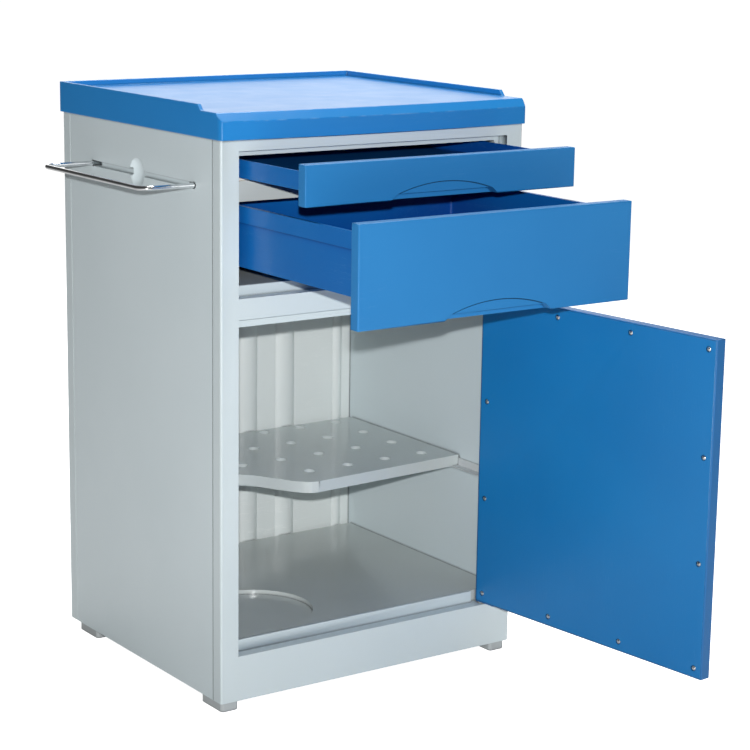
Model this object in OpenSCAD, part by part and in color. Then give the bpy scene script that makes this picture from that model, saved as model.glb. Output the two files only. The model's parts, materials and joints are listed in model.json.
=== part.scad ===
// Ward bedside cabinet: moulded body, bowed top tray, two drawers, hinged door, shelf and
// push-in towel rail. Millimetres. X runs to the right, Y to the back, Z up; the origin is on
// the floor, midway between the four feet.

/* [Overall] */
// Height from the floor to the top of the tray's rim
overall_h = 760; // [700:1:820]
// Width over the side panels
body_w = 458; // [430:1:500]
// Depth over the front and rear frames
body_d = 408; // [400:1:440]
// Height of the feet
foot_h = 13; // [10:1:16]

/* [Top tray] */
// Height of the tray from its skirt to its rim
tray_h = 40; // [36:1:46]
// How far the tray's front edge bows out at the middle
tray_bow = 11; // [4:1:16]
// Height of the raised rim over the working surface
rim_h = 7.5; // [5:0.5:10]

/* [Front frame] */
// Width of each stile
stile_w = 25.5; // [22:0.5:30]
// Height of the rail over the drawers, seen below the tray
top_rail = 14; // [12:1:18]
// Height of the drawer opening
drawer_opening = 179; // [176:1:186]
// Height of the middle rail
mid_rail = 26; // [22:1:30]
// Height of the bottom rail
bottom_rail = 58.5; // [54:0.5:64]
// Depth of the step that the fronts sit in
rebate = 17; // [17:0.5:18]

/* [Drawers] */
// Height of the upper drawer's front
upper_front_h = 49.5; // [46:0.5:52]
// Height of the lower drawer's front
lower_front_h = 122; // [118:0.5:122]
// Thickness of the fronts and of the door
front_t = 16; // [14:0.5:16]
// Length of each drawer tray
drawer_l = 334; // [320:1:336]
// How far the upper drawer stands open
upper_open = 141; // [0:1:250]
// How far the lower drawer stands open
lower_open = 250; // [0:1:250]

/* [Door] */
// Angle at which the door stands open
door_open = 96; // [0:1:110]
// Distance of the pivot from the door's hinge edge
pivot_in = 10.5; // [10:0.5:12]
// Radius of the pivot pins
pin_r = 4; // [3:0.5:5]

/* [Shelf] */
// Height of the shelf's top over the floor
shelf_z = 251; // [200:1:330]
// Pitch of the shelf's holes across the cabinet
hole_px = 62; // [50:1:66]
// Pitch of the shelf's holes from front to back
hole_py = 71; // [66:1:71]

/* [Towel rail] */
// Radius of the rail's rod
rod_r = 3; // [2.5:0.1:3.2]
// How far the rail stands pulled out
rail_out = 72; // [0:1:72]
// Distance between the rail's two arms
rail_l = 261; // [240:1:280]

/* [Hidden] */

$fn = 64;
e = 0.01;                                   // overlap that lets a cut break cleanly through a face
body_grey = "#D3DBDE";
shelf_grey = "#C4CDD0";
cabinet_blue = "#2F7EC4";
deep_blue = "#1E62A8";
nylon = "#ECEFEF";
steel = "#B9BEC1";
chrome_steel = "#D7DADC";

// Heights
skirt_z = overall_h - tray_h;               // underside of the top tray's skirt
lip_top = skirt_z + 12;                     // top edge of the panels, hidden inside the skirt
opening_top = skirt_z - top_rail;
mid_top = opening_top - drawer_opening;
mid_bottom = mid_top - mid_rail;
door_sill = foot_h + bottom_rail;

// Plan
half_w = body_w / 2 - 0.2;
foot_y = 166.5;                             // centre of the front and rear feet from the origin
front_y = -foot_y - 29.5;
back_y = front_y + body_d;
frame_d = 20.5;                             // depth of the front and rear frames
panel_front = front_y + frame_d;
panel_back = back_y - frame_d;
panel_t = 4;
inner_w = half_w - panel_t;                 // inside face of the side panels
open_w = body_w / 2 - stile_w;              // half the width of the openings
wall = 3;
stop_lip = 7.5;                             // width of the lip that the fronts close against
stop_y = front_y + rebate;

// Fronts and trays
front_gap = 2.8;
front_w = open_w - front_gap;
tray_w = open_w - stop_lip - 0.8;           // half the outside width of the drawer trays
tray_wall = 2.5;
tray_front = front_y + front_t;
upper_front_z = opening_top - 1.5 - upper_front_h;
lower_front_z = mid_top + 1.5;
upper_wall_z = skirt_z - 47;
upper_wall_h = 22;
lower_wall_z = skirt_z - 156;
lower_wall_h = 75;
band_h = 20;                                // height of the lower tray's outer band
band_t = 3;                                 // how far that band stands out
grip_w = 80;                                // half the width of the finger arch along the bottom edge
grip_foot = 7.8;                            // height of the arch's slanted feet
grip_foot_w = 9.5;                          // width of those feet
grip_rise = 20;                             // height of the arch's crown
shield_t = 3;                               // thickness of the shield's flange
shield_y = 3.5;                             // depth at which the flange seats
glide_l = 26;                               // length of a glide block
glide_back = 8;                             // distance of a glide from the tray's rear end
full_open = 250;                            // travel at which the glides meet the runners' stops

// Divider and towel rail
divider_top = skirt_z - 52.5;
divider_bottom = skirt_z - 78;
rail_z = skirt_z - 60;
rail_y0 = front_y + 63;
rail_y1 = rail_y0 + rail_l;
rail_mid = (rail_y0 + rail_y1) / 2;
groove_h = 7.6;
groove_depth = 4;
rail_home_x = -half_w + groove_depth - rod_r - 0.3;   // rod's centre when the rail is pushed in
rail_bend = 14;                             // radius of the rail's two corners, on the rod's centre line
pocket_depth = 15.3;                        // depth of the pockets that take those corners
pocket_l = rail_bend + groove_h / 2;        // how far a pocket runs along the groove from its arm
pocket_floor = 2;
dish_r = 19.5;
dish_depth = 9;
dish_ball = (dish_r * dish_r + dish_depth * dish_depth) / (2 * dish_depth);
dish_y = rail_mid + 12.5;                   // the dish sits a little behind the middle of the rail
arm_end_x = -150;                           // inner end of the arms when the rail is out
run_clear = 0.05;                           // running clearance on the radius
bush_r = 6;                                 // outside of the hinge bushes

// Runners
runner_h = 15;
runner_t = 1.5;
runner_x0 = tray_w + 19;                    // outer face of a runner's web
runner_x1 = tray_w + 3.5;                   // tip of its flanges
runner_y0 = panel_front + 2;
runner_y1 = panel_back - 12;
upper_runner_z = upper_wall_z + 3;
lower_runner_z = lower_wall_z + lower_wall_h - 17;

// Door
door_w = open_w - 2;
pivot_x = door_w - pivot_in;
pivot_y = front_y + front_t / 2;
door_z0 = door_sill + 2;
door_z1 = mid_bottom - 2;
door_h = door_z1 - door_z0;
heel_r = 5;
notch_x = pivot_x - 15;                     // where the door's stop lips end beside the hinge
magnet_z0 = 266;
magnet_z1 = 306;
screw_sunk = 1;                             // depth of the dimples that the door's screws sit in

// Base, deck and shelf
floor_z = foot_h + 74;
deck_z = mid_top + 13;
basin_x = -112;
basin_y = front_y + 113;
basin_r = 79;
shelf_t = 15;
shelf_w = inner_w - 1.9;
shelf_back = panel_back - 10;
shelf_front = front_y + 97;                 // foremost point of the shelf's edge
shelf_set_back = front_y + 184;             // its edge on the left, beside a tall flask
shelf_rake = 16;                            // how far the edge runs back towards the right
s_from = -106;                              // the edge sweeps forward between these two places
s_to = -18;
foot_w = 25;
foot_l = 51;
foot_x = half_w - 3.3 - foot_w / 2;
stem_r = 4.2;

// ---- shared shapes

// A box with every edge rounded
module soft_box(lo, hi, r) {
    size = hi - lo;
    translate((lo + hi) / 2) intersection() {
        linear_extrude(size[2], center = true) round_rect(size[0], size[1], r);
        rotate([90, 0, 0]) linear_extrude(size[1], center = true) round_rect(size[0], size[2], r);
        rotate([90, 0, 90]) linear_extrude(size[0], center = true) round_rect(size[1], size[2], r);
    }
}

// A box given by its two corners
module span(lo, hi) {
    translate(lo) cube([hi[0] - lo[0], hi[1] - lo[1], hi[2] - lo[2]]);
}

// A rectangle with round corners, centred on the origin
module round_rect(w, d, r) {
    square([w, d - 2 * r], center = true);
    square([w - 2 * r, d], center = true);
    for (x = [-1, 1], y = [-1, 1]) translate([x * (w / 2 - r), y * (d / 2 - r)]) circle(r);
}

// A round-cornered upright block given by its two corners
module post(lo, hi, r) {
    translate([(lo[0] + hi[0]) / 2, (lo[1] + hi[1]) / 2, lo[2]])
        linear_extrude(hi[2] - lo[2]) round_rect(hi[0] - lo[0], hi[1] - lo[1], r);
}

// The children and their mirror image on the cabinet's other side
module mirrored() {
    children();
    mirror([1, 0, 0]) children();
}

// A pan-head screw pointing along -Z, its head on z = 0
module screw(head_r = 3.2, head_h = 1.8, shank_r = 1.5, length = 8) {
    intersection() {
        cylinder(h = head_h, r = head_r, $fn = 32);
        translate([0, 0, head_h - 4.2]) sphere(4.2, $fn = 32);
    }
    translate([0, 0, -length]) cylinder(h = length + e, r = shank_r, $fn = 24);
}

// ---- carcass

module front_frame() color(body_grey) difference() {
    union() {
        frame_moulding();
        // bosses round the hinge bushes, and webs across the hollow rails
        for (z = [door_sill - 14, mid_bottom]) translate([pivot_x, pivot_y, z]) cylinder(h = 14, r = 7.8);
        for (x = [-120, -40, 40, 120]) {
            span([x - 1, front_y + wall - e, foot_h + 3 - e],
                 [x + 1, panel_front - 4, door_sill - wall + e]);
            span([x - 1, front_y + wall - e, mid_bottom + wall - e],
                 [x + 1, panel_front - 4, mid_top - wall + e]);
        }
    }
    translate([pivot_x, pivot_y, door_sill - 15]) cylinder(h = 16, r = bush_r);
    translate([pivot_x, pivot_y, mid_bottom - 1]) cylinder(h = 16, r = bush_r);
}

// The frame's outer wall with its two openings, stepped so that the fronts and the door close against a lip
module frame_moulding() {
    lip_y0 = stop_y - e;
    lip_y1 = panel_front + 1;
    difference() {
        post([-half_w, front_y, foot_h], [half_w, panel_front, lip_top], 2.5);
        span([-open_w, front_y - 1, mid_top], [open_w, stop_y, opening_top]);
        span([-open_w + stop_lip, lip_y0, deck_z], [open_w - stop_lip, lip_y1, opening_top - stop_lip]);
        span([-open_w, front_y - 1, door_sill], [open_w, stop_y, mid_bottom]);
        span([-open_w + stop_lip, lip_y0, floor_z], [open_w, lip_y1, mid_bottom - 12.5]);
        span([notch_x, lip_y0, door_sill], [open_w, lip_y1, mid_bottom]);
        // notch that the magnet's nose looks through
        span([-open_w - e, lip_y0, magnet_z0 - 1], [-open_w + stop_lip + 1, lip_y1, magnet_z1 + 1]);
        // hollow back of the moulding
        mirrored() span([open_w + wall, front_y + wall, foot_h + 6], [half_w - wall, lip_y1, lip_top + 1]);
        span([-open_w, front_y + wall, foot_h + 3], [open_w, lip_y1, door_sill - wall]);
        span([-open_w, front_y + wall, mid_bottom + wall], [open_w, lip_y1, mid_top - wall]);
        span([-open_w, front_y + wall, opening_top + wall], [open_w, lip_y1, lip_top + 1]);
    }
}

module rear_frame() color(body_grey) {
    lip_in = 190;
    difference() {
        post([-half_w, panel_back, foot_h], [half_w, back_y, lip_top], 2.5);
        span([-lip_in, panel_back - 1, 75], [lip_in, back_y + 1, 690]);
        post([-204, panel_back + 3, 61], [204, back_y + 9, 704], 4);
        mirrored() span([207, panel_back - 1, foot_h + 6], [half_w - wall, back_y - wall, lip_top + 1]);
        span([-204, panel_back - 1, foot_h + 3], [204, back_y - wall, 58]);
        span([-204, panel_back - 1, 707], [204, back_y - wall, lip_top + 1]);
    }
}

// Plain wall of a side panel, with the upright ribs that stiffen it beside the drawers
module panel_wall() {
    span([-half_w, panel_front, foot_h], [-inner_w, panel_back, lip_top]);
    for (y = [-158, -72, 76, 162])
        span([-inner_w - e, y - 1, deck_z + 4], [-inner_w + 5, y + 1, lower_runner_z - 2]);
}

// Places along Y where the rail's arms enter, with the direction of the groove from each
rail_arms = [[rail_y0, 1], [rail_y1, -1]];

// A round-ended slot from an arm along the groove, cut or built from the panel's face inwards
module rail_pocket(arm, x0, x1, grow) {
    lo = arm[0] - groove_h / 2 - grow;
    hi = arm[0] + pocket_l + grow;
    h = groove_h + 2 * grow;
    translate([x0, arm[0], rail_z]) scale([1, arm[1], 1]) translate([0, -arm[0], 0])
        rotate([90, 0, 90]) linear_extrude(x1 - x0)
            translate([(lo + hi) / 2, 0]) round_rect(hi - lo, h, h / 2 - e);
}

module left_side_panel() color(body_grey) difference() {
    union() {
        panel_wall();
        // inside of the groove, of the finger dish and of the pockets at the groove's ends
        translate([-inner_w - e, 0, 0]) rotate([90, 0, 90]) linear_extrude(2.5)
            translate([rail_mid, rail_z]) round_rect(rail_l + 22, groove_h + 6, 6);
        translate([-inner_w - e, dish_y, rail_z]) rotate([0, 90, 0]) cylinder(h = 8, r = dish_r + 3);
        for (arm = rail_arms) rail_pocket(arm, -inner_w - e, -half_w + pocket_depth + pocket_floor, 2.6);
    }
    translate([-half_w - e, 0, 0]) rotate([90, 0, 90]) linear_extrude(groove_depth)
        translate([rail_mid, rail_z]) round_rect(rail_l + groove_h, groove_h, groove_h / 2 - e);
    translate([-half_w + dish_depth - dish_ball, dish_y, rail_z]) sphere(dish_ball, $fn = 96);
    for (arm = rail_arms) {
        rail_pocket(arm, -half_w - 1, -half_w + pocket_depth, 0);
        translate([-half_w, arm[0], rail_z]) rotate([0, 90, 0]) cylinder(h = 20, r = 4.4);
    }
}

module right_side_panel() color(body_grey) mirror([1, 0, 0]) panel_wall();

// Centre, half width and depth of each rib of the back sheet
back_ribs = [for (side = [-1, 1], rib = [[47, 16, 6], [110, 16, 6], [201, 8, 4]])
    [side * rib[0], rib[1], rib[2]]];

// Plan of a rib: the part of a disc that stands forward of y = 0, or its hollow when inset
module rib_plan(rib, inset, behind) {
    r = (rib[1] * rib[1] + rib[2] * rib[2]) / (2 * rib[2]);
    intersection() {
        translate([rib[0], r - rib[2]]) circle(r - inset, $fn = 96);
        translate([rib[0] - rib[1], -rib[2]]) square([2 * rib[1], rib[2] + behind]);
    }
}

// Back sheet stiffened by hollow round ribs
module back_panel() color(shelf_grey) {
    sheet = 2.5;
    half = inner_w - 0.5;
    z0 = floor_z - 10;                      // the sheet runs down behind the compartment's floor
    z1 = deck_z - 4;
    translate([0, panel_back - sheet, z0]) linear_extrude(z1 - z0) difference() {
        union() {
            translate([-half, 0]) square([2 * half, sheet - e]);
            for (rib = back_ribs) rib_plan(rib, 0, e);
        }
        for (rib = back_ribs) rib_plan(rib, sheet, sheet + 1);
    }
    span([-half, panel_back - sheet, z1 - e], [half, panel_back - e, lip_top - 3]);
}

module back_panel_screws() color(steel)
    for (x = [-197, 197], z = [110, 260, 410, 560, 665])
        translate([x, panel_back + 3, z]) rotate([-90, 0, 0]) screw(length = 3);

// Compartment floor with the round well that a wash basin or flask stands in
module base_panel() color(shelf_grey) {
    front = panel_front + 0.3;
    back = panel_back - 9;
    difference() {
        union() {
            span([-inner_w, front, floor_z - wall], [inner_w, back, floor_z]);
            translate([basin_x, basin_y, floor_z - 9]) cylinder(h = 9, r = basin_r + 3, $fn = 128);
        }
        translate([basin_x, basin_y, floor_z - 6]) cylinder(h = 7, r = basin_r, $fn = 128);
    }
    // ribs under the floor, and the rim round its edge
    for (x = [-inner_w, -inner_w + 70, -1, inner_w - 72, inner_w - 2])
        span([x, front, floor_z - 30], [x + 2, back, floor_z - 8.9]);
    for (y = [front, -60, 50, back - 2])
        span([-inner_w, y, floor_z - 30], [inner_w, y + 2, floor_z - 8.9]);
    difference() {
        span([-inner_w, front, floor_z - 9], [inner_w, back, floor_z - wall + e]);
        span([-inner_w + 2, front + 2, floor_z - 10], [inner_w - 2, back - 2, floor_z]);
    }
    // corner blocks that the feet and their stems run up into
    difference() {
        for (x = [-foot_x, foot_x], y = [-foot_y + 6, foot_y])
            post([x - 11, y - 14, foot_h + 6], [x + 11, y + 14, floor_z - 29], 4);
        for (x = [-foot_x, foot_x], y = [-foot_y, foot_y])
            translate([x, y, 0]) cylinder(h = 40, r = stem_r);
    }
}

// Ribbed floor under the lower drawer
module mid_deck() color(shelf_grey) {
    front = panel_front + 0.3;
    back = panel_back - 9;
    span([-inner_w, front, deck_z - wall], [inner_w, back, deck_z]);
    for (i = [0:6])
        span([-inner_w + 8 + i * 72, front, deck_z - 14],
             [-inner_w + 10 + i * 72, back, deck_z - wall + e]);
    for (i = [0:4])
        span([-inner_w, front + i * 88, deck_z - 14], [inner_w, front + i * 88 + 2, deck_z - wall + e]);
}

// Hollow deck between the drawers; the towel rail's arms slide inside it
module drawer_divider() color(shelf_grey) {
    front = panel_front + 0.3;
    back = panel_back - 9;
    skin = 2.5;
    difference() {
        span([-inner_w + 7, front, divider_bottom], [inner_w, back, divider_top]);
        span([-inner_w + 6, front + wall, divider_bottom - 1],
             [inner_w - wall, back - wall, divider_top - skin]);
        // room for the dish and the pockets in the left side panel
        span([-inner_w + 6, dish_y - dish_r - 5, divider_bottom - 1],
             [-inner_w + 10, dish_y + dish_r + 5, divider_top + 1]);
        for (arm = rail_arms) translate([0, arm[0], 0]) scale([1, arm[1], 1])
            span([-inner_w + 6, -10, divider_bottom - 1],
                 [-half_w + pocket_depth + pocket_floor + 1, pocket_l + 6, divider_top + 1]);
    }
    for (x = [-40, 60, 150])
        span([x, front + wall - e, divider_bottom + 6], [x + 2, back - wall + e, divider_top - skin + e]);
    for (y = [-60, 80])
        span([-40, y, divider_bottom + 6], [inner_w - wall + e, y + 2, divider_top - skin + e]);
}

// The tray's plan: straight sides and back, and a front edge on one large arc
function bow_r(w) = (w * w + tray_bow * tray_bow) / (2 * tray_bow);

module top_tray() color(cabinet_blue) {
    tw = half_w + 3.2;
    corner_y = front_y - 3.8;
    back = back_y + 2.5;
    surface = overall_h - rim_h;
    bevel = 10;
    radius = bow_r(tw);
    arc_y = corner_y - tray_bow + radius;
    chamfer = 7;
    rim_t = 5;
    difference() {
        union() {
            intersection() {
                union() {
                    translate([0, arc_y, skirt_z])
                        cylinder(h = surface - bevel - skirt_z, r = radius, $fn = 360);
                    translate([0, arc_y, surface - bevel])
                        cylinder(h = bevel, r1 = radius, r2 = radius - bevel, $fn = 360);
                }
                // the plan's straight sides, with the front corners cut off
                translate([0, 0, skirt_z]) linear_extrude(surface - skirt_z) polygon([
                    [-tw, back], [-tw, corner_y + chamfer], [-tw + chamfer, corner_y - tray_bow - 2],
                    [tw - chamfer, corner_y - tray_bow - 2], [tw, corner_y + chamfer], [tw, back]]);
            }
            // rim round three sides, its front ends sloped down to the surface
            mirrored() translate([-tw, 0, 0]) rotate([90, 0, 90]) linear_extrude(rim_t) polygon([
                [front_y + 42, surface - e], [front_y + 49, overall_h],
                [back, overall_h], [back, surface - e]]);
            span([-tw, back - rim_t, surface - e], [tw, back, overall_h]);
        }
        // hollow underside, which seats over the frames and panels
        span([-half_w - 0.2, front_y - 0.2, skirt_z - 1], [half_w + 0.2, back_y + 0.2, lip_top + 0.2]);
        span([-half_w + 12, front_y + 12, lip_top], [half_w - 12, back_y - 12, surface - 4]);
    }
    for (i = [0:5])
        span([-206 + i * 82, front_y + 11, lip_top + 0.2], [-203.5 + i * 82, back_y - 11, surface - 4 + e]);
    for (i = [0:4])
        span([-half_w + 11, -170 + i * 88, lip_top + 0.2], [half_w - 11, -167.5 + i * 88, surface - 4 + e]);
}

// The shelf's front edge: set back on the left for a tall flask, then an S-curve out to the full depth
function ease(t) = t * t * t * (t * (6 * t - 15) + 10);
function shelf_edge(x, inset = 0) =
    let (t = min(1, max(0, (x - s_from - inset) / (s_to - s_from))))
    shelf_set_back + inset + (shelf_front - shelf_set_back) * ease(t)
        + shelf_rake * max(0, (x - s_to) / (shelf_w - s_to));
function shelf_outline(inset) = concat(
    [[-shelf_w + inset, shelf_back - inset]],
    [[-shelf_w + inset, shelf_edge(-shelf_w, inset)]],
    [for (i = [0:24]) let (x = s_from + i * (s_to - s_from) / 24) [x, shelf_edge(x, inset)]],
    [[shelf_w - inset, shelf_edge(shelf_w, inset)]],
    [[shelf_w - inset, shelf_back - inset]]);

module shelf() color(shelf_grey) {
    skin = 2.5;
    difference() {
        translate([0, 0, shelf_z - shelf_t]) linear_extrude(shelf_t) polygon(shelf_outline(0));
        translate([0, 0, shelf_z - shelf_t - 1]) linear_extrude(shelf_t + 1 - skin)
            polygon(shelf_outline(2.5));
        shelf_holes(8);
    }
    // collar round the underside of each hole
    difference() {
        intersection() {
            translate([0, 0, shelf_z - 6]) linear_extrude(6 - skin + e) polygon(shelf_outline(1));
            shelf_holes(10);
        }
        shelf_holes(8);
    }
}

module shelf_holes(r) {
    for (i = [0:6], j = [0:3])
        let (x = 185 - i * hole_px, y = -47 + j * hole_py)
            if (y > shelf_edge(x) + 20)
                translate([x, y, shelf_z - shelf_t - 1]) cylinder(h = shelf_t + 2, r = r, $fn = 32);
}

// Steel angle screwed to a side panel; the shelf rests on its lower flange
module shelf_ledge() {
    y0 = panel_front + 3;
    z0 = shelf_z - shelf_t;
    span([-inner_w, y0, z0 - 1.5], [-inner_w + 13, shelf_back, z0]);
    span([-inner_w, y0, z0 - 1.5], [-inner_w + 1.5, shelf_back, z0 + 10]);
}

module left_shelf_ledge() color(body_grey) shelf_ledge();
module right_shelf_ledge() color(body_grey) mirror([1, 0, 0]) shelf_ledge();

// C-section steel runner with two tabs that screw to the side panel
module runner(z) {
    difference() {
        span([-runner_x0, runner_y0, z], [-runner_x1, runner_y1, z + runner_h]);
        span([-runner_x0 + runner_t, runner_y0 - 1, z + runner_t],
             [-runner_x1 + 1, runner_y1 + 1, z + runner_h - runner_t]);
    }
    span([-runner_x0, runner_y1 - runner_t, z], [-runner_x1, runner_y1, z + runner_h]);
    for (y = [runner_y0, runner_y1 - 16])
        span([-inner_w, y, z + 1], [-runner_x0 + e, y + 16, z + runner_h - 1]);
    // bent-in stop that the drawer's glides meet at full opening
    stop_tab_y = tray_front + drawer_l - glide_back - glide_l - full_open - 0.2;
    span([-runner_x0, stop_tab_y - runner_t, z], [-runner_x1 - 3, stop_tab_y, z + runner_h]);
}

module upper_left_runner() color(steel) runner(upper_runner_z);
module upper_right_runner() color(steel) mirror([1, 0, 0]) runner(upper_runner_z);
module lower_left_runner() color(steel) runner(lower_runner_z);
module lower_right_runner() color(steel) mirror([1, 0, 0]) runner(lower_runner_z);

// Nylon pads at the mouth of the carcass that carry the trays
module upper_runner_pads() color(nylon) mirrored()
    post([-tray_w + 2, panel_front + 2, divider_top],
         [-tray_w + 20, panel_front + 18, upper_wall_z - 0.3], 3);

module lower_runner_pads() color(nylon) mirrored() {
    z = lower_wall_z + lower_wall_h - band_h - 0.3;
    span([-tray_w - 14, runner_y0 + 2, z - 7], [-tray_w + band_t - 0.5, runner_y0 + 18, z]);
    span([-tray_w - 14, runner_y0 + 2, z - e], [-runner_x1, runner_y0 + 18, lower_runner_z]);
}

// Foot block with a stem hole that also takes a castor
module foot(x, y) {
    difference() {
        union() {
            post([x - foot_w / 2, y - foot_l / 2, 1], [x + foot_w / 2, y + foot_l / 2, foot_h], 5);
            post([x - foot_w / 2 + 1, y - foot_l / 2 + 1, 0],
                 [x + foot_w / 2 - 1, y + foot_l / 2 - 1, 1 + e], 4);
            translate([x, y, foot_h - e]) cylinder(h = 6, r = 7);
        }
        translate([x, y, -1]) cylinder(h = foot_h + 8, r = stem_r);
    }
}

module front_left_foot() color(shelf_grey) foot(-foot_x, -foot_y);
module front_right_foot() color(shelf_grey) foot(foot_x, -foot_y);
module rear_left_foot() color(shelf_grey) foot(-foot_x, foot_y);
module rear_right_foot() color(shelf_grey) foot(foot_x, foot_y);

// Flanged bush that a pivot pin turns in
module hinge_bush() {
    difference() {
        union() {
            translate([0, 0, -1]) cylinder(h = 13, r = bush_r);
            translate([0, 0, -1.2]) cylinder(h = 1.2, r = 7.5);
        }
        translate([0, 0, -2]) cylinder(h = 15, r = pin_r + run_clear);
    }
}

module upper_hinge_bush() color(nylon)
    translate([pivot_x, pivot_y, mid_bottom]) hinge_bush();
module lower_hinge_bush() color(nylon)
    translate([pivot_x, pivot_y, door_sill]) mirror([0, 0, 1]) hinge_bush();

// Magnet in a nylon case behind the left stile, its nose in a notch of the lip
module door_magnet() color(nylon) {
    face_x = -open_w + stop_lip;
    span([-inner_w, panel_front + 0.3, magnet_z0 + 1], [face_x - 0.4, panel_front + 12, magnet_z1 - 1]);
    span([-open_w + 0.8, stop_y - 0.4, magnet_z0 + 1],
         [face_x - 0.4, panel_front + 0.3 + e, magnet_z1 - 1]);
}

// Flanged bushes in the floors of the rail's pockets
module rail_wall_bushes() color(nylon)
    for (y = [rail_y0, rail_y1])
        translate([-half_w + pocket_depth, y, rail_z]) rotate([0, 90, 0]) difference() {
            union() {
                cylinder(h = 9, r = 4.4);
                translate([0, 0, pocket_floor + 0.1]) cylinder(h = 1.6, r = 4.9);
            }
            translate([0, 0, -1]) cylinder(h = 12, r = rod_r + run_clear);
        }

// Inner guides for the rail's arms, hung under the divider's skin
module rail_inner_brackets() color(nylon)
    for (y = [rail_y0, rail_y1])
        difference() {
            span([arm_end_x - 14, y - 9, divider_bottom + 4], [arm_end_x - 8, y + 9, divider_top - 2.5]);
            translate([arm_end_x - 20, y, rail_z]) rotate([0, 90, 0])
                cylinder(h = 20, r = rod_r + run_clear);
        }

// ---- drawers

// Arc over the finger arch, grown by g; the arch's lower edge is on z = 0
function arch_arc(g) = let (
        half = grip_w - grip_foot_w,
        rise = grip_rise - grip_foot,
        r = (half * half + rise * rise) / (2 * rise),
        sweep = asin(half / r))
    [for (i = [-16:16]) let (a = sweep * i / 16) [(r + g) * sin(a), grip_rise - r + (r + g) * cos(a)]];

// The arc closed by a level line at z = low
function arch_lens(g, low) = let (arc = arch_arc(g)) concat([[arc[0][0], low]], arc, [[arc[32][0], low]]);

// The arc on two slanted feet that run out through the lower edge
function arch_notch() = let (foot_x = grip_w + grip_foot_w / grip_foot)
    concat([[-foot_x, -1]], arch_arc(0), [[foot_x, -1]]);

// An outline drawn on the front's face, as a solid from one depth to another
module sunk(z0, from, to)
    translate([0, front_y + to, z0]) rotate([90, 0, 0]) linear_extrude(to - from) children();

// Front with a finger arch in its lower edge, a shallow seat for the shield, and room for fingers behind it
module drawer_front(z0, h) difference() {
    soft_box([-front_w, front_y, z0], [front_w, tray_front, z0 + h], 2.2);
    sunk(z0, -1, front_t - 2.6) polygon(arch_notch());
    sunk(z0, shield_y, shield_y + shield_t + 0.1) polygon(arch_lens(3, grip_foot - 0.2));
}

// Shield that closes the arch: a raised face inside a thin shadow gap, on a flange seated
// behind the front's skin
module drawer_grip(z0) difference() {
    union() {
        sunk(z0, shield_y + 0.1, shield_y + shield_t) polygon(arch_lens(2.8, grip_foot - 2));
        sunk(z0, shield_y - 2, shield_y + 0.2) polygon(arch_lens(-1.3, grip_foot - 2));
    }
    span([-front_w, front_y - 1, z0 - 1], [front_w, tray_front + 1, z0 + grip_foot]);
}

// Open-topped moulded tray with round inside corners
module drawer_tray(z0, h, w) {
    y0 = tray_front;
    y1 = y0 + drawer_l;
    difference() {
        post([-w, y0, z0], [w, y1, z0 + h], 6);
        post([-w + tray_wall, y0 + tray_wall, z0 + tray_wall],
             [w - tray_wall, y1 - tray_wall, z0 + h + 1], 4);
    }
}

module front_screws(z)
    for (x = [-150, -60, 60, 150])
        translate([x, tray_front + tray_wall, z]) rotate([-90, 0, 0]) screw(length = tray_wall - e);

module upper_drawer() translate([0, -upper_open, 0]) children();
module lower_drawer() translate([0, -lower_open, 0]) children();

module upper_drawer_tray() color(deep_blue) upper_drawer() drawer_tray(upper_wall_z, upper_wall_h, tray_w);
module upper_drawer_front() color(cabinet_blue) upper_drawer() drawer_front(upper_front_z, upper_front_h);
module upper_drawer_grip() color(cabinet_blue) upper_drawer() drawer_grip(upper_front_z);
module upper_drawer_glides() color(nylon) upper_drawer() mirrored() glide(upper_runner_z);
module upper_front_screws() color(steel) upper_drawer() front_screws(upper_wall_z + 11);

// Nylon block on the rear corner of a tray, sliding in the runner
module glide(z) {
    y1 = tray_front + drawer_l - glide_back;
    span([-runner_x0 + runner_t + 0.6, y1 - glide_l, z + runner_t + 0.5],
         [-tray_w, y1, z + runner_h - runner_t - 0.5]);
}

module lower_drawer_tray() color(deep_blue) lower_drawer() {
    drawer_tray(lower_wall_z, lower_wall_h, tray_w - band_t);
    // outer band round the top of the side walls
    mirrored() span([-tray_w, tray_front, lower_wall_z + lower_wall_h - band_h],
                    [-tray_w + band_t + e, tray_front + drawer_l - 6, lower_wall_z + lower_wall_h]);
}
module lower_drawer_front() color(cabinet_blue) lower_drawer() drawer_front(lower_front_z, lower_front_h);
module lower_drawer_grip() color(cabinet_blue) lower_drawer() drawer_grip(lower_front_z);
module lower_drawer_glides() color(nylon) lower_drawer() mirrored() glide(lower_runner_z);
module lower_front_screws() color(steel) lower_drawer() front_screws(lower_wall_z + 45);

// ---- door, drawn closed and swung to its open angle

module swing()
    translate([pivot_x, pivot_y, 0]) rotate([0, 0, door_open]) translate([-pivot_x, -pivot_y, 0])
        children();

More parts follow.
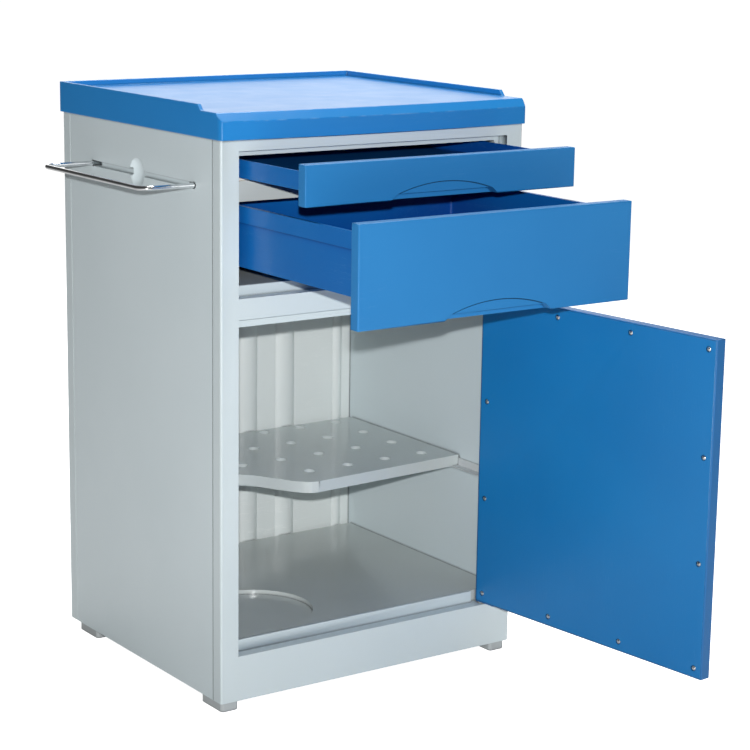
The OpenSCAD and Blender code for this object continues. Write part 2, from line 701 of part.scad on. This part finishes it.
// Outer moulding: a shallow tray with ribs, a lens-shaped grip recess and a rounded heel
module door_shell() color(cabinet_blue) swing() {
    inner_y = front_y + front_t;
    difference() {
        union() {
            soft_box([-door_w, front_y, door_z0], [door_w - heel_r, inner_y, door_z1], 2);
            post([door_w - 40, front_y, door_z0], [door_w, inner_y, door_z1], heel_r);
        }
        span([-door_w + 3, front_y + 3, door_z0 + 3], [door_w - 22, inner_y - 3, door_z1 - 3]);
        span([-door_w + 1.5, inner_y - 3 - e, door_z0 + 1.5], [door_w - 4, inner_y + 1, door_z1 - 1.5]);
        door_grip(0);
        for (z = [door_z0 - 1, door_z1 - 24])
            translate([pivot_x, pivot_y, z]) cylinder(h = 25, r = pin_r);
    }
    difference() {
        union() {
            for (i = [1:4])
                span([-door_w + 2, front_y + 2, door_z0 + i * 85 - 1],
                     [door_w - 21, inner_y - 3, door_z0 + i * 85 + 1]);
            for (x = [-100, 0, 100])
                span([x - 1, front_y + 2, door_z0 + 2], [x + 1, inner_y - 3, door_z1 - 2]);
            intersection() {
                door_grip(2.5);
                span([-door_w, front_y + 2, door_z0], [0, inner_y - 3, door_z1]);
            }
        }
        door_grip(0);
        // clearance round the strike plate
        span([-door_w + 2, inner_y - 5.2, magnet_z0 - 5], [-door_w + 21, inner_y - 3, magnet_z1 + 5]);
    }
}

// Lens-shaped finger recess near the free edge, grown by g: the overlap of two large discs
module door_grip(g) {
    disc_r = 170;
    lens_half_w = 24;
    lens_x = -door_w + 38;
    depth = 9.5 + g;
    intersection() {
        lens_disc(lens_x - disc_r + lens_half_w, disc_r + g, depth);
        lens_disc(lens_x + disc_r - lens_half_w, disc_r + g, depth);
    }
}

module lens_disc(x, r, depth)
    translate([x, front_y + depth, (door_z0 + door_z1) / 2]) rotate([90, 0, 0])
        cylinder(h = depth + 1, r = r, $fn = 180);

module door_inner_skin() color(deep_blue) swing() difference() {
    inner_y = front_y + front_t;
    span([-door_w + 1.7, inner_y - 2.9, door_z0 + 1.7], [door_w - 4.2, inner_y, door_z1 - 1.7]);
    for (p = door_screws())
        translate([p[0], inner_y + 1, p[1]]) rotate([90, 0, 0])
            cylinder(h = screw_sunk + 1, r = 3.9, $fn = 32);
}

// Places of the twelve screws, from the door's lower free corner
function door_screws() = let (
        x0 = -door_w + 13, x1 = door_w - 15, z0 = door_z0 + 13, z1 = door_z1 - 13,
        dx = (x1 - x0) / 3, dz = (z1 - z0) / 3)
    concat([for (i = [0:3], z = [z0, z1]) [x0 + i * dx, z]],
           [for (i = [1, 2], x = [x0, x1]) [x, z0 + i * dz]]);

module door_skin_screws() color(chrome_steel) swing()
    for (p = door_screws())
        translate([p[0], front_y + front_t - screw_sunk, p[1]]) rotate([-90, 0, 0])
            screw(head_r = 3, head_h = 1.6, length = 2.8 - screw_sunk);

module door_upper_pin() color(steel) swing()
    translate([pivot_x, pivot_y, door_z1 - 23]) cylinder(h = 23 + 11, r = pin_r);
module door_lower_pin() color(steel) swing()
    translate([pivot_x, pivot_y, door_z0 - 11]) cylinder(h = 23 + 11, r = pin_r);

module door_strike_plate() color(steel) swing()
    span([-door_w + 3.2, front_y + front_t - 5, magnet_z0 - 2],
         [-door_w + 19, front_y + front_t - 3.2, magnet_z1 + 2]);

// ---- towel rail

module rail() translate([rail_home_x - rail_out, 0, rail_z]) children();

// One round rod bent into a U with two quarter-round corners
module towel_rail_bar() color(chrome_steel) rail() {
    arm = arm_end_x - (rail_home_x - rail_out) + e;
    for (y = [rail_y0, rail_y1])
        translate([rail_bend, y, 0]) rotate([0, 90, 0]) cylinder(h = arm - rail_bend, r = rod_r, $fn = 32);
    translate([0, rail_y0 + rail_bend, 0]) rotate([-90, 0, 0])
        cylinder(h = rail_l - 2 * rail_bend, r = rod_r, $fn = 32);
    for (corner = [[rail_y0 + rail_bend, 180], [rail_y1 - rail_bend, 90]])
        translate([rail_bend, corner[0], 0]) rotate([0, 0, corner[1]]) rotate_extrude(angle = 90, $fn = 64)
            translate([rail_bend, 0]) circle(rod_r, $fn = 32);
}

module rail_end_stops() color(nylon)
    for (y = [rail_y0, rail_y1])
        translate([arm_end_x - 7, y, rail_z]) rotate([0, 90, 0]) difference() {
            cylinder(h = 7, r = 5);
            translate([0, 0, -1]) cylinder(h = 9, r = rod_r);
        }

front_frame();
rear_frame();
left_side_panel();
right_side_panel();
back_panel();
back_panel_screws();
base_panel();
mid_deck();
drawer_divider();
top_tray();
shelf();
left_shelf_ledge();
right_shelf_ledge();
upper_left_runner();
upper_right_runner();
lower_left_runner();
lower_right_runner();
upper_runner_pads();
lower_runner_pads();
front_left_foot();
front_right_foot();
rear_left_foot();
rear_right_foot();
upper_hinge_bush();
lower_hinge_bush();
door_magnet();
rail_wall_bushes();
rail_inner_brackets();
upper_drawer_tray();
upper_drawer_front();
upper_drawer_grip();
upper_drawer_glides();
upper_front_screws();
lower_drawer_tray();
lower_drawer_front();
lower_drawer_grip();
lower_drawer_glides();
lower_front_screws();
door_shell();
door_inner_skin();
door_skin_screws();
door_upper_pin();
door_lower_pin();
door_strike_plate();
towel_rail_bar();
rail_end_stops();
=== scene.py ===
import json
import math
import bmesh
import bpy
from mathutils import Matrix, Vector

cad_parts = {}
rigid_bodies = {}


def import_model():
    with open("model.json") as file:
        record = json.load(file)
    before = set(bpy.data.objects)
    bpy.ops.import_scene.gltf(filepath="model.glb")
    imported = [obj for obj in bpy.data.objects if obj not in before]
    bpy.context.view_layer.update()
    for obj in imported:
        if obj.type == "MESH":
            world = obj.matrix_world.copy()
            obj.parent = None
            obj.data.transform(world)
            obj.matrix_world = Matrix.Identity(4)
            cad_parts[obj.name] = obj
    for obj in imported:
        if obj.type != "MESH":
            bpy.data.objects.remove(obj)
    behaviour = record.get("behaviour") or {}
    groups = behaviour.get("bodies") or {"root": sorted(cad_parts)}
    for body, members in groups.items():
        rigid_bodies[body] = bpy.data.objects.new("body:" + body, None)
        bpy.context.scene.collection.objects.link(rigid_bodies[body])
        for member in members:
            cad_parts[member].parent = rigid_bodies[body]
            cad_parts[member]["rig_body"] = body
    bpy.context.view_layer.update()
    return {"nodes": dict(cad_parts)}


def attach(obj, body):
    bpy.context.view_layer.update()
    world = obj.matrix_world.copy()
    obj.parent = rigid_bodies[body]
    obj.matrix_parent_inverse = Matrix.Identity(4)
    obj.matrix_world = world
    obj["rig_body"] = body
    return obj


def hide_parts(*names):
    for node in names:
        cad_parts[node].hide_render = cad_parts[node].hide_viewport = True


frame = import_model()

# ---- side panels
# Two injection-moulded sheets of light grey ABS, snapped between the front and rear frames.
# The left one carries the towel rail's groove and the round finger dish, both polished by use.


def moulded_edges(node, radius=0.0007, steps=2, at_least=0.004, angle=28):
    """A copy of a CAD node with its sharp edges turned into small mould radii.

    The attribute mould_edge marks the narrow faces of those radii, where plastic wears first; the
    plastic materials lighten them there, partly as wear, partly as a painted highlight.
    """
    source = frame["nodes"][node]
    bm = bmesh.new()
    bm.from_mesh(source.data)
    bmesh.ops.remove_doubles(bm, verts=bm.verts, dist=1e-5)
    bmesh.ops.dissolve_limit(bm, angle_limit=math.radians(0.6), verts=bm.verts, edges=bm.edges)
    edge_mark = bm.faces.layers.int.new("mould_edge")
    sharp = [e for e in bm.edges if len(e.link_faces) == 2
             and e.calc_face_angle(0) > math.radians(angle) and e.calc_length() > at_least]
    if sharp and radius:
        made = bmesh.ops.bevel(bm, geom=sharp, offset=radius, offset_type="OFFSET", affect="EDGES",
                               segments=steps, profile=0.5, clamp_overlap=True, material=-1)
        for face in made["faces"]:
            face[edge_mark] = int(2 * face.calc_area() < radius * face.calc_perimeter())
    bmesh.ops.recalc_face_normals(bm, faces=bm.faces)
    mesh = bpy.data.meshes.new(node + "_moulding")
    bm.to_mesh(mesh)
    bm.free()
    piece = bpy.data.objects.new(node + "_moulding", mesh)
    bpy.context.scene.collection.objects.link(piece)
    for polygon in mesh.polygons:
        polygon.use_smooth = True
    mesh.set_sharp_from_angle(angle=math.radians(38))
    weighted = piece.modifiers.new("even shading", "WEIGHTED_NORMAL")
    weighted.keep_sharp = True
    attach(piece, source["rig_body"])
    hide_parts(node)
    return piece


def finish(piece, material):
    piece.data.materials.clear()
    piece.data.materials.append(material)


def noise(tree, scale, detail=2.0, rough=0.5, stretch=None, turn=0.0):
    """A noise pattern on Object coordinates, its scale counted per metre."""
    coords = tree.nodes.new("ShaderNodeTexCoord")
    out = coords.outputs["Object"]
    if stretch:
        mapping = tree.nodes.new("ShaderNodeMapping")
        mapping.inputs["Scale"].default_value = stretch
        mapping.inputs["Rotation"].default_value = (0, math.radians(turn), 0)
        tree.links.new(out, mapping.inputs["Vector"])
        out = mapping.outputs["Vector"]
    node = tree.nodes.new("ShaderNodeTexNoise")
    node.inputs["Scale"].default_value = scale
    node.inputs["Detail"].default_value = detail
    node.inputs["Roughness"].default_value = rough
    tree.links.new(out, node.inputs["Vector"])
    return node.outputs["Fac"]


def spread(tree, value, low, high, to_low=0.0, to_high=1.0):
    """Stretches the part of a value between low and high over to_low to to_high."""
    node = tree.nodes.new("ShaderNodeMapRange")
    node.inputs["From Min"].default_value = low
    node.inputs["From Max"].default_value = high
    node.inputs["To Min"].default_value = to_low
    node.inputs["To Max"].default_value = to_high
    tree.links.new(value, node.inputs["Value"])
    return node.outputs["Result"]


def blend_colour(tree, fac, a, b):
    node = tree.nodes.new("ShaderNodeMix")
    node.data_type = "RGBA"
    tree.links.new(fac, node.inputs["Factor"])
    for socket, value in ((node.inputs[6], a), (node.inputs[7], b)):
        if isinstance(value, tuple):
            socket.default_value = (*value, 1)
        else:
            tree.links.new(value, socket)
    return node.outputs[2]


def bump(tree, height, distance, strength=1.0, below=None):
    node = tree.nodes.new("ShaderNodeBump")
    node.inputs["Distance"].default_value = distance
    node.inputs["Strength"].default_value = strength
    tree.links.new(height, node.inputs["Height"])
    if below:
        tree.links.new(below, node.inputs["Normal"])
    return node.outputs["Normal"]


def combine(tree, operation, a, b):
    node = tree.nodes.new("ShaderNodeMath")
    node.operation = operation
    for socket, value in zip(node.inputs, (a, b)):
        if isinstance(value, (int, float)):
            socket.default_value = value
        else:
            tree.links.new(value, socket)
    return node.outputs[0]


def moulded_plastic(name, colour, shade, rubbed_and_highlight_colour, roughness=(0.29, 0.38), peel=0.00004, scuffs=0.5,
                    along=(14, 14, 1), turn=0.0, crevice_shade_strength=0.8, painted_hollow_shade=None):
    """Moulded ABS: slow colour drift, fine orange peel, faint rubbed streaks and soft sink marks, with
    painted shade in creases and narrow gaps, painted shade in deep hollows where asked, and lightened
    edges that are partly wear, partly painted highlight.
    """
    material = bpy.data.materials.new(name)
    material.use_nodes = True
    tree = material.node_tree
    shader = tree.nodes["Principled BSDF"]
    drift = spread(tree, noise(tree, 5.0, 3.0), 0.3, 0.7)
    base = blend_colour(tree, drift, colour, shade)
    if painted_hollow_shade:
        # painted shade: a stand-in for light lost in a deep box, the colour itself deepens in a hollow
        hollow = tree.nodes.new("ShaderNodeAmbientOcclusion")
        hollow.samples = 8
        hollow.only_local = True
        hollow.inputs["Distance"].default_value = 0.12
        depth = spread(tree, hollow.outputs["AO"], 0.55, 0.97, 0.85, 0.0)
        base = blend_colour(tree, depth, base, painted_hollow_shade)
    # hairline scratches where a stretched pattern crosses its middle value, in soft patches
    grain = noise(tree, 5.0, 4.0, 0.65, along, turn)
    middle = combine(tree, "ABSOLUTE", combine(tree, "SUBTRACT", grain, 0.5), 0)
    patches = spread(tree, noise(tree, 4.5, 2.0), 0.42, 0.72)
    scuff = combine(tree, "MULTIPLY", spread(tree, middle, 0.0, 0.007, 1.0, 0.0), patches)
    # the mould radii lighten towards the rubbed colour in broken patches: partly edge wear, partly a
    # painted highlight along the edges
    edge = tree.nodes.new("ShaderNodeAttribute")
    edge.attribute_name = "mould_edge"
    broken = spread(tree, noise(tree, 60.0, 4.0), 0.42, 0.62)
    edge_wear_and_highlight = combine(tree, "MULTIPLY", edge.outputs["Fac"], broken)
    wear = combine(tree, "MAXIMUM", combine(tree, "MULTIPLY", scuff, scuffs * 0.6),
                   combine(tree, "MULTIPLY", edge_wear_and_highlight, 0.5))
    # painted shade: within 4 mm of a concave corner, step or narrow gap the colour darkens towards a
    # near-black of the shade colour
    crevice = tree.nodes.new("ShaderNodeAmbientOcclusion")
    crevice.samples = 8
    crevice.inputs["Distance"].default_value = 0.004
    crevice_shade_mask = spread(tree, crevice.outputs["AO"], 0.35, 0.9, crevice_shade_strength, 0.0)
    crevice_shade_colour = tuple(0.12 * channel for channel in shade)
    surface = blend_colour(tree, crevice_shade_mask, blend_colour(tree, wear, base, rubbed_and_highlight_colour), crevice_shade_colour)
    tree.links.new(surface, shader.inputs["Base Color"])
    gloss = spread(tree, noise(tree, 26.0, 5.0), 0.3, 0.7, *roughness)
    dull = combine(tree, "MULTIPLY", combine(tree, "ADD", scuff, patches), 0.08 * scuffs)
    gloss = combine(tree, "ADD", gloss, dull)
    tree.links.new(gloss, shader.inputs["Roughness"])
    sink = bump(tree, noise(tree, 14.0, 1.0), 0.00008)
    skin = bump(tree, noise(tree, 700.0, 1.5), peel, 1.0, sink)
    tree.links.new(skin, shader.inputs["Normal"])
    shader.inputs["IOR"].default_value = 1.5
    return material


grey_abs = moulded_plastic("light grey ABS", (0.625, 0.705, 0.730), (0.598, 0.680, 0.705),
                           (0.70, 0.75, 0.76), roughness=(0.30, 0.42), scuffs=0.35)
for node in ("left_side_panel", "right_side_panel"):
    finish(moulded_edges(node, 0.0006), grey_abs)

# ---- front and rear frames
# One-piece mouldings that hold the panels; the front one steps back twice round each opening
# so that the drawer fronts and the door close into it. Same grey ABS, a little glossier.
frame_abs = moulded_plastic("frame grey ABS", (0.600, 0.675, 0.695), (0.576, 0.652, 0.672),
                            (0.72, 0.77, 0.78), roughness=(0.29, 0.38), scuffs=0.3)
for node in ("front_frame", "rear_frame"):
    finish(moulded_edges(node, 0.0008, 3), frame_abs)

# ---- back sheet
# Thin ABS sheet stiffened by hollow upright ribs; things pushed against it have left
# long pale marks.
back_abs = moulded_plastic("back sheet ABS", (0.715, 0.760, 0.752), (0.690, 0.736, 0.728),
                           (0.86, 0.88, 0.87), roughness=(0.30, 0.44), scuffs=1.0, along=(1, 1, 16),
                           turn=14)
finish(moulded_edges("back_panel", 0.0008, 2), back_abs)

# ---- floor, deck and divider
# The compartment's floor with its round basin well, the ribbed deck under the lower drawer
# and the hollow divider, all in a slightly duller grey that shows scratches from basins.
inner_abs = moulded_plastic("inner grey ABS", (0.545, 0.585, 0.575), (0.512, 0.552, 0.542),
                            (0.66, 0.69, 0.68), roughness=(0.16, 0.21), scuffs=0.22, along=(1, 12, 12))
for node in ("base_panel", "mid_deck", "drawer_divider"):
    finish(moulded_edges(node, 0.0007, 2), inner_abs)

# ---- shelf
# Loose shelf moulded in grey ABS, its front edge swept back for tall flasks, with rows of
# drain holes; it rests on two steel ledges and carries faint scratches.
shelf_abs = moulded_plastic("shelf grey ABS", (0.540, 0.590, 0.590), (0.505, 0.555, 0.555),
                            (0.66, 0.69, 0.68), roughness=(0.13, 0.18), scuffs=0.2, along=(12, 1, 12))
finish(moulded_edges("shelf", 0.0010, 3), shelf_abs)

# ---- top tray
# Bowed working surface in blue ABS with a rim on three sides; cups and basins have dulled
# the surface in patches.
top_abs = moulded_plastic("tray top ABS", (0.017, 0.235, 0.600), (0.014, 0.216, 0.570),
                          (0.14, 0.34, 0.64), roughness=(0.285, 0.345), scuffs=0.2, along=(1, 12, 12))
finish(moulded_edges("top_tray", 0.0010, 3), top_abs)

# ---- drawer fronts and their grips
# Solid-looking fronts with an arched finger pull in the lower edge, closed by a thin shield
# that sits in its own shadow gap.
blue_abs = moulded_plastic("cabinet blue ABS", (0.016, 0.192, 0.475), (0.013, 0.176, 0.448),
                           (0.14, 0.32, 0.60), roughness=(0.44, 0.54), scuffs=0.3, along=(1, 12, 12))
for node in ("upper_drawer_front", "lower_drawer_front"):
    finish(moulded_edges(node, 0.0009, 3), blue_abs)
for node in ("upper_drawer_grip", "lower_drawer_grip"):
    finish(moulded_edges(node, 0.0004, 2, 0.002), blue_abs)

# ---- drawer trays
# Thin-walled boxes in a deeper blue, screwed to the fronts from inside; their side walls
# are rubbed along the line of the runners.
# The deep navy given for the hollows is painted shade, darkening the trays where the box is deep.
tray_abs = moulded_plastic("tray blue ABS", (0.004, 0.135, 0.430), (0.003, 0.112, 0.385),
                           (0.10, 0.27, 0.54), roughness=(0.30, 0.40), scuffs=0.5, along=(12, 1, 12),
                           painted_hollow_shade=(0.001, 0.040, 0.250))
tray_abs.node_tree.nodes["Principled BSDF"].inputs["Specular IOR Level"].default_value = 0.3
for node in ("upper_drawer_tray", "lower_drawer_tray"):
    finish(moulded_edges(node, 0.0006, 2), tray_abs)

# ---- door
# A shallow outer moulding in blue ABS, ribbed inside, closed by a flat inner skin in a deeper
# blue that twelve screws hold on. The grip on the outer face is a lens-shaped recess.
door_abs = moulded_plastic("door shell ABS", (0.014, 0.142, 0.380), (0.011, 0.128, 0.352),
                           (0.12, 0.27, 0.52), roughness=(0.34, 0.44), scuffs=0.35, along=(12, 12, 1))
finish(moulded_edges("door_shell", 0.0009, 3), door_abs)
skin_abs = moulded_plastic("door skin ABS", (0.007, 0.182, 0.470), (0.005, 0.162, 0.435),
                           (0.11, 0.30, 0.58), roughness=(0.29, 0.38), scuffs=0.18, along=(12, 12, 1))
finish(moulded_edges("door_inner_skin", 0.0005, 2), skin_abs)

# ---- towel rail
# One chromed steel rod bent into a U. Its arms slide in nylon bushes behind the side panel,
# and pushed in, the bar lies in the panel's groove.


def metal(name, colour, dark, roughness, streak=(1, 1, 1), grain=400.0, depth=0.00002):
    """Plated metal with fine rub marks and a few dull spots."""
    material = bpy.data.materials.new(name)
    material.use_nodes = True
    tree = material.node_tree
    shader = tree.nodes["Principled BSDF"]
    shader.inputs["Metallic"].default_value = 1.0
    spots = spread(tree, noise(tree, 55.0, 5.0), 0.45, 0.72)
    tree.links.new(blend_colour(tree, spots, colour, dark), shader.inputs["Base Color"])
    lines = noise(tree, grain, 3.0, 0.5, streak)
    tree.links.new(spread(tree, lines, 0.3, 0.7, *roughness), shader.inputs["Roughness"])
    tree.links.new(bump(tree, lines, depth), shader.inputs["Normal"])
    return material


chrome = metal("chromed rod", (0.80, 0.81, 0.82), (0.66, 0.67, 0.69), (0.07, 0.16), (1, 6, 1),
               150.0, 0.00001)
finish(moulded_edges("towel_rail_bar", 0.0), chrome)

# ---- screws
# Zinc-plated pan heads: twelve in the door's inner skin, four in each drawer front and ten
# in the back sheet.
zinc = metal("zinc-plated screws", (0.84, 0.85, 0.86), (0.55, 0.56, 0.57), (0.12, 0.26))
for node in ("door_skin_screws", "upper_front_screws", "lower_front_screws", "back_panel_screws"):
    finish(moulded_edges(node, 0.0002, 2, 0.0005, 40), zinc)

# ---- steel runners, ledges, pins and strike
# Folded and powder-coated steel, with bright lines where the glides run. The door's two
# pivot pins are zinc-plated rod, and the strike plate meets the magnet.


def coated_steel(name, colour, shade, bare, roughness=(0.38, 0.52)):
    material = bpy.data.materials.new(name)
    material.use_nodes = True
    tree = material.node_tree
    shader = tree.nodes["Principled BSDF"]
    base = blend_colour(tree, spread(tree, noise(tree, 18.0, 3.0), 0.3, 0.7), colour, shade)
    edge = tree.nodes.new("ShaderNodeAttribute")
    edge.attribute_name = "mould_edge"
    lines = spread(tree, noise(tree, 40.0, 5.0, 0.6, (8, 0.6, 8)), 0.60, 0.70)
    broken = spread(tree, noise(tree, 90.0, 4.0), 0.5, 0.62)
    chips = combine(tree, "MULTIPLY", edge.outputs["Fac"], broken)
    wear = combine(tree, "MAXIMUM", combine(tree, "MULTIPLY", lines, 0.6), chips)
    tree.links.new(blend_colour(tree, wear, base, bare), shader.inputs["Base Color"])
    tree.links.new(combine(tree, "MULTIPLY", wear, 0.8), shader.inputs["Metallic"])
    gloss = spread(tree, noise(tree, 60.0, 4.0), 0.3, 0.7, *roughness)
    tree.links.new(gloss, shader.inputs["Roughness"])
    tree.links.new(bump(tree, noise(tree, 900.0, 2.0), 0.00005), shader.inputs["Normal"])
    return material


epoxy = coated_steel("epoxy-coated steel", (0.60, 0.63, 0.64), (0.55, 0.58, 0.59), (0.50, 0.50, 0.50))
for node in ("left_shelf_ledge", "right_shelf_ledge", "upper_left_runner", "upper_right_runner",
             "lower_left_runner", "lower_right_runner", "door_strike_plate"):
    finish(moulded_edges(node, 0.0003, 2), epoxy)
for node in ("door_upper_pin", "door_lower_pin"):
    finish(moulded_edges(node, 0.0004, 2, 0.0005, 40), zinc)

# ---- nylon parts
# Natural nylon bushes, pads, glides and the rail's end stops, taken as pressed in place,
# slightly yellowed and polished where they slide.
nylon = moulded_plastic("natural nylon", (0.80, 0.80, 0.76), (0.74, 0.73, 0.68), (0.86, 0.86, 0.83),
                        roughness=(0.42, 0.56), peel=0.00003, scuffs=0.6)
nylon.node_tree.nodes["Principled BSDF"].inputs["Subsurface Weight"].default_value = 0.15
nylon.node_tree.nodes["Principled BSDF"].inputs["Subsurface Scale"].default_value = 0.004
for node in ("upper_runner_pads", "lower_runner_pads", "upper_drawer_glides", "lower_drawer_glides",
             "upper_hinge_bush", "lower_hinge_bush", "door_magnet", "rail_wall_bushes",
             "rail_inner_brackets", "rail_end_stops"):
    finish(moulded_edges(node, 0.0004, 2, 0.0015), nylon)

# ---- feet
# Grey plastic blocks under the frames' corners that also take castor stems, scuffed by mops
# and floor grit.
foot_grey = moulded_plastic("foot plastic", (0.440, 0.470, 0.478), (0.390, 0.420, 0.428),
                            (0.52, 0.53, 0.53), roughness=(0.42, 0.58), peel=0.00008, scuffs=1.2)
for node in ("front_left_foot", "front_right_foot", "rear_left_foot", "rear_right_foot"):
    finish(moulded_edges(node, 0.0006, 2), foot_grey)

# ---- studio
# A white floor and surround that show as white to the camera and light the cabinet only a
# little, a small flash just above the camera, a fill, a ceiling light and a card whose
# glare lies on the top tray.


def plane(name, corners, material):
    mesh = bpy.data.meshes.new(name)
    bm = bmesh.new()
    bm.faces.new([bm.verts.new(c) for c in corners])
    bm.to_mesh(mesh)
    bm.free()
    piece = bpy.data.objects.new(name, mesh)
    bpy.context.scene.collection.objects.link(piece)
    mesh.materials.append(material)
    return piece


floor_paper = bpy.data.materials.new("floor paper")
floor_paper.use_nodes = True
floor_tree = floor_paper.node_tree
floor_shader = floor_tree.nodes["Principled BSDF"]
floor_shader.inputs["Base Color"].default_value = (0.80, 0.80, 0.80, 1)
floor_shader.inputs["Roughness"].default_value = 0.8
floor_shader.inputs["Emission Color"].default_value = (1, 1, 1, 1)
path = floor_tree.nodes.new("ShaderNodeLightPath")
floor_tree.links.new(path.outputs["Is Camera Ray"], floor_shader.inputs["Emission Strength"])
plane("floor", [(-60, -8, 0), (60, -8, 0), (60, 90, 0), (-60, 90, 0)], floor_paper)

world = bpy.data.worlds.new("studio")
bpy.context.scene.world = world
world.use_nodes = True
world.node_tree.nodes["Background"].inputs["Color"].default_value = (1, 1, 1, 1)
seen = world.node_tree.nodes.new("ShaderNodeLightPath")
light_given, white_seen = 0.06, 1.0
surround = spread(world.node_tree, seen.outputs["Is Camera Ray"], 0.0, 1.0, light_given, white_seen)
world.node_tree.links.new(surround, world.node_tree.nodes["Background"].inputs["Strength"])


def soft_light(name, shape_size, energy, azimuth, elevation, distance, aim):
    data = bpy.data.lights.new(name, "AREA")
    data.shape = "DISK"
    data.size = shape_size
    data.energy = energy
    light = bpy.data.objects.new(name, data)
    bpy.context.scene.collection.objects.link(light)
    az, el = math.radians(azimuth), math.radians(elevation)
    light.location = aim + distance * Vector((math.sin(az) * math.cos(el),
                                              -math.cos(az) * math.cos(el), math.sin(el)))
    light.rotation_euler = (aim - light.location).to_track_quat("-Z", "Y").to_euler()


soft_light("flash", 0.035, 65, -33.7, 13.6, 2.963, Vector((0.05, 0.0, 0.40)))
soft_light("front fill", 1.4, 3, 30, 10, 3.0, Vector((0, 0, 0.40)))
soft_light("ceiling light", 0.9, 54, 120, 74, 2.2, Vector((0, 0, 0.76)))
soft_light("glare card", 2.6, 25, 150, 18, 3.0, Vector((0, 0, 0.76)))

camera_data = bpy.data.cameras.new("camera")
camera_data.lens = 103.79          # mm
camera_data.sensor_width = 36      # mm
camera_data.shift_x = 0.0007
camera_data.shift_y = -0.0004
camera_data.dof.use_dof = False
camera = bpy.data.objects.new("camera", camera_data)
bpy.context.scene.collection.objects.link(camera)
bpy.context.scene.camera = camera
azimuth, elevation, roll = (math.radians(v) for v in (-35.113, 12.313, 0.847))
forward = Vector((-math.sin(azimuth) * math.cos(elevation), math.cos(azimuth) * math.cos(elevation),
                  -math.sin(elevation)))
level = forward.cross(Vector((0, 0, 1))).normalized()
upright = level.cross(forward)
across = math.cos(roll) * level + math.sin(roll) * upright
up = math.cos(roll) * upright - math.sin(roll) * level
standing_at = (-1.54847, -2.39632, 0.99810)
turned = Matrix((across, up, -forward)).transposed().to_4x4()
camera.matrix_world = Matrix.Translation(standing_at) @ turned
bpy.context.scene.view_settings.view_transform = "Standard"
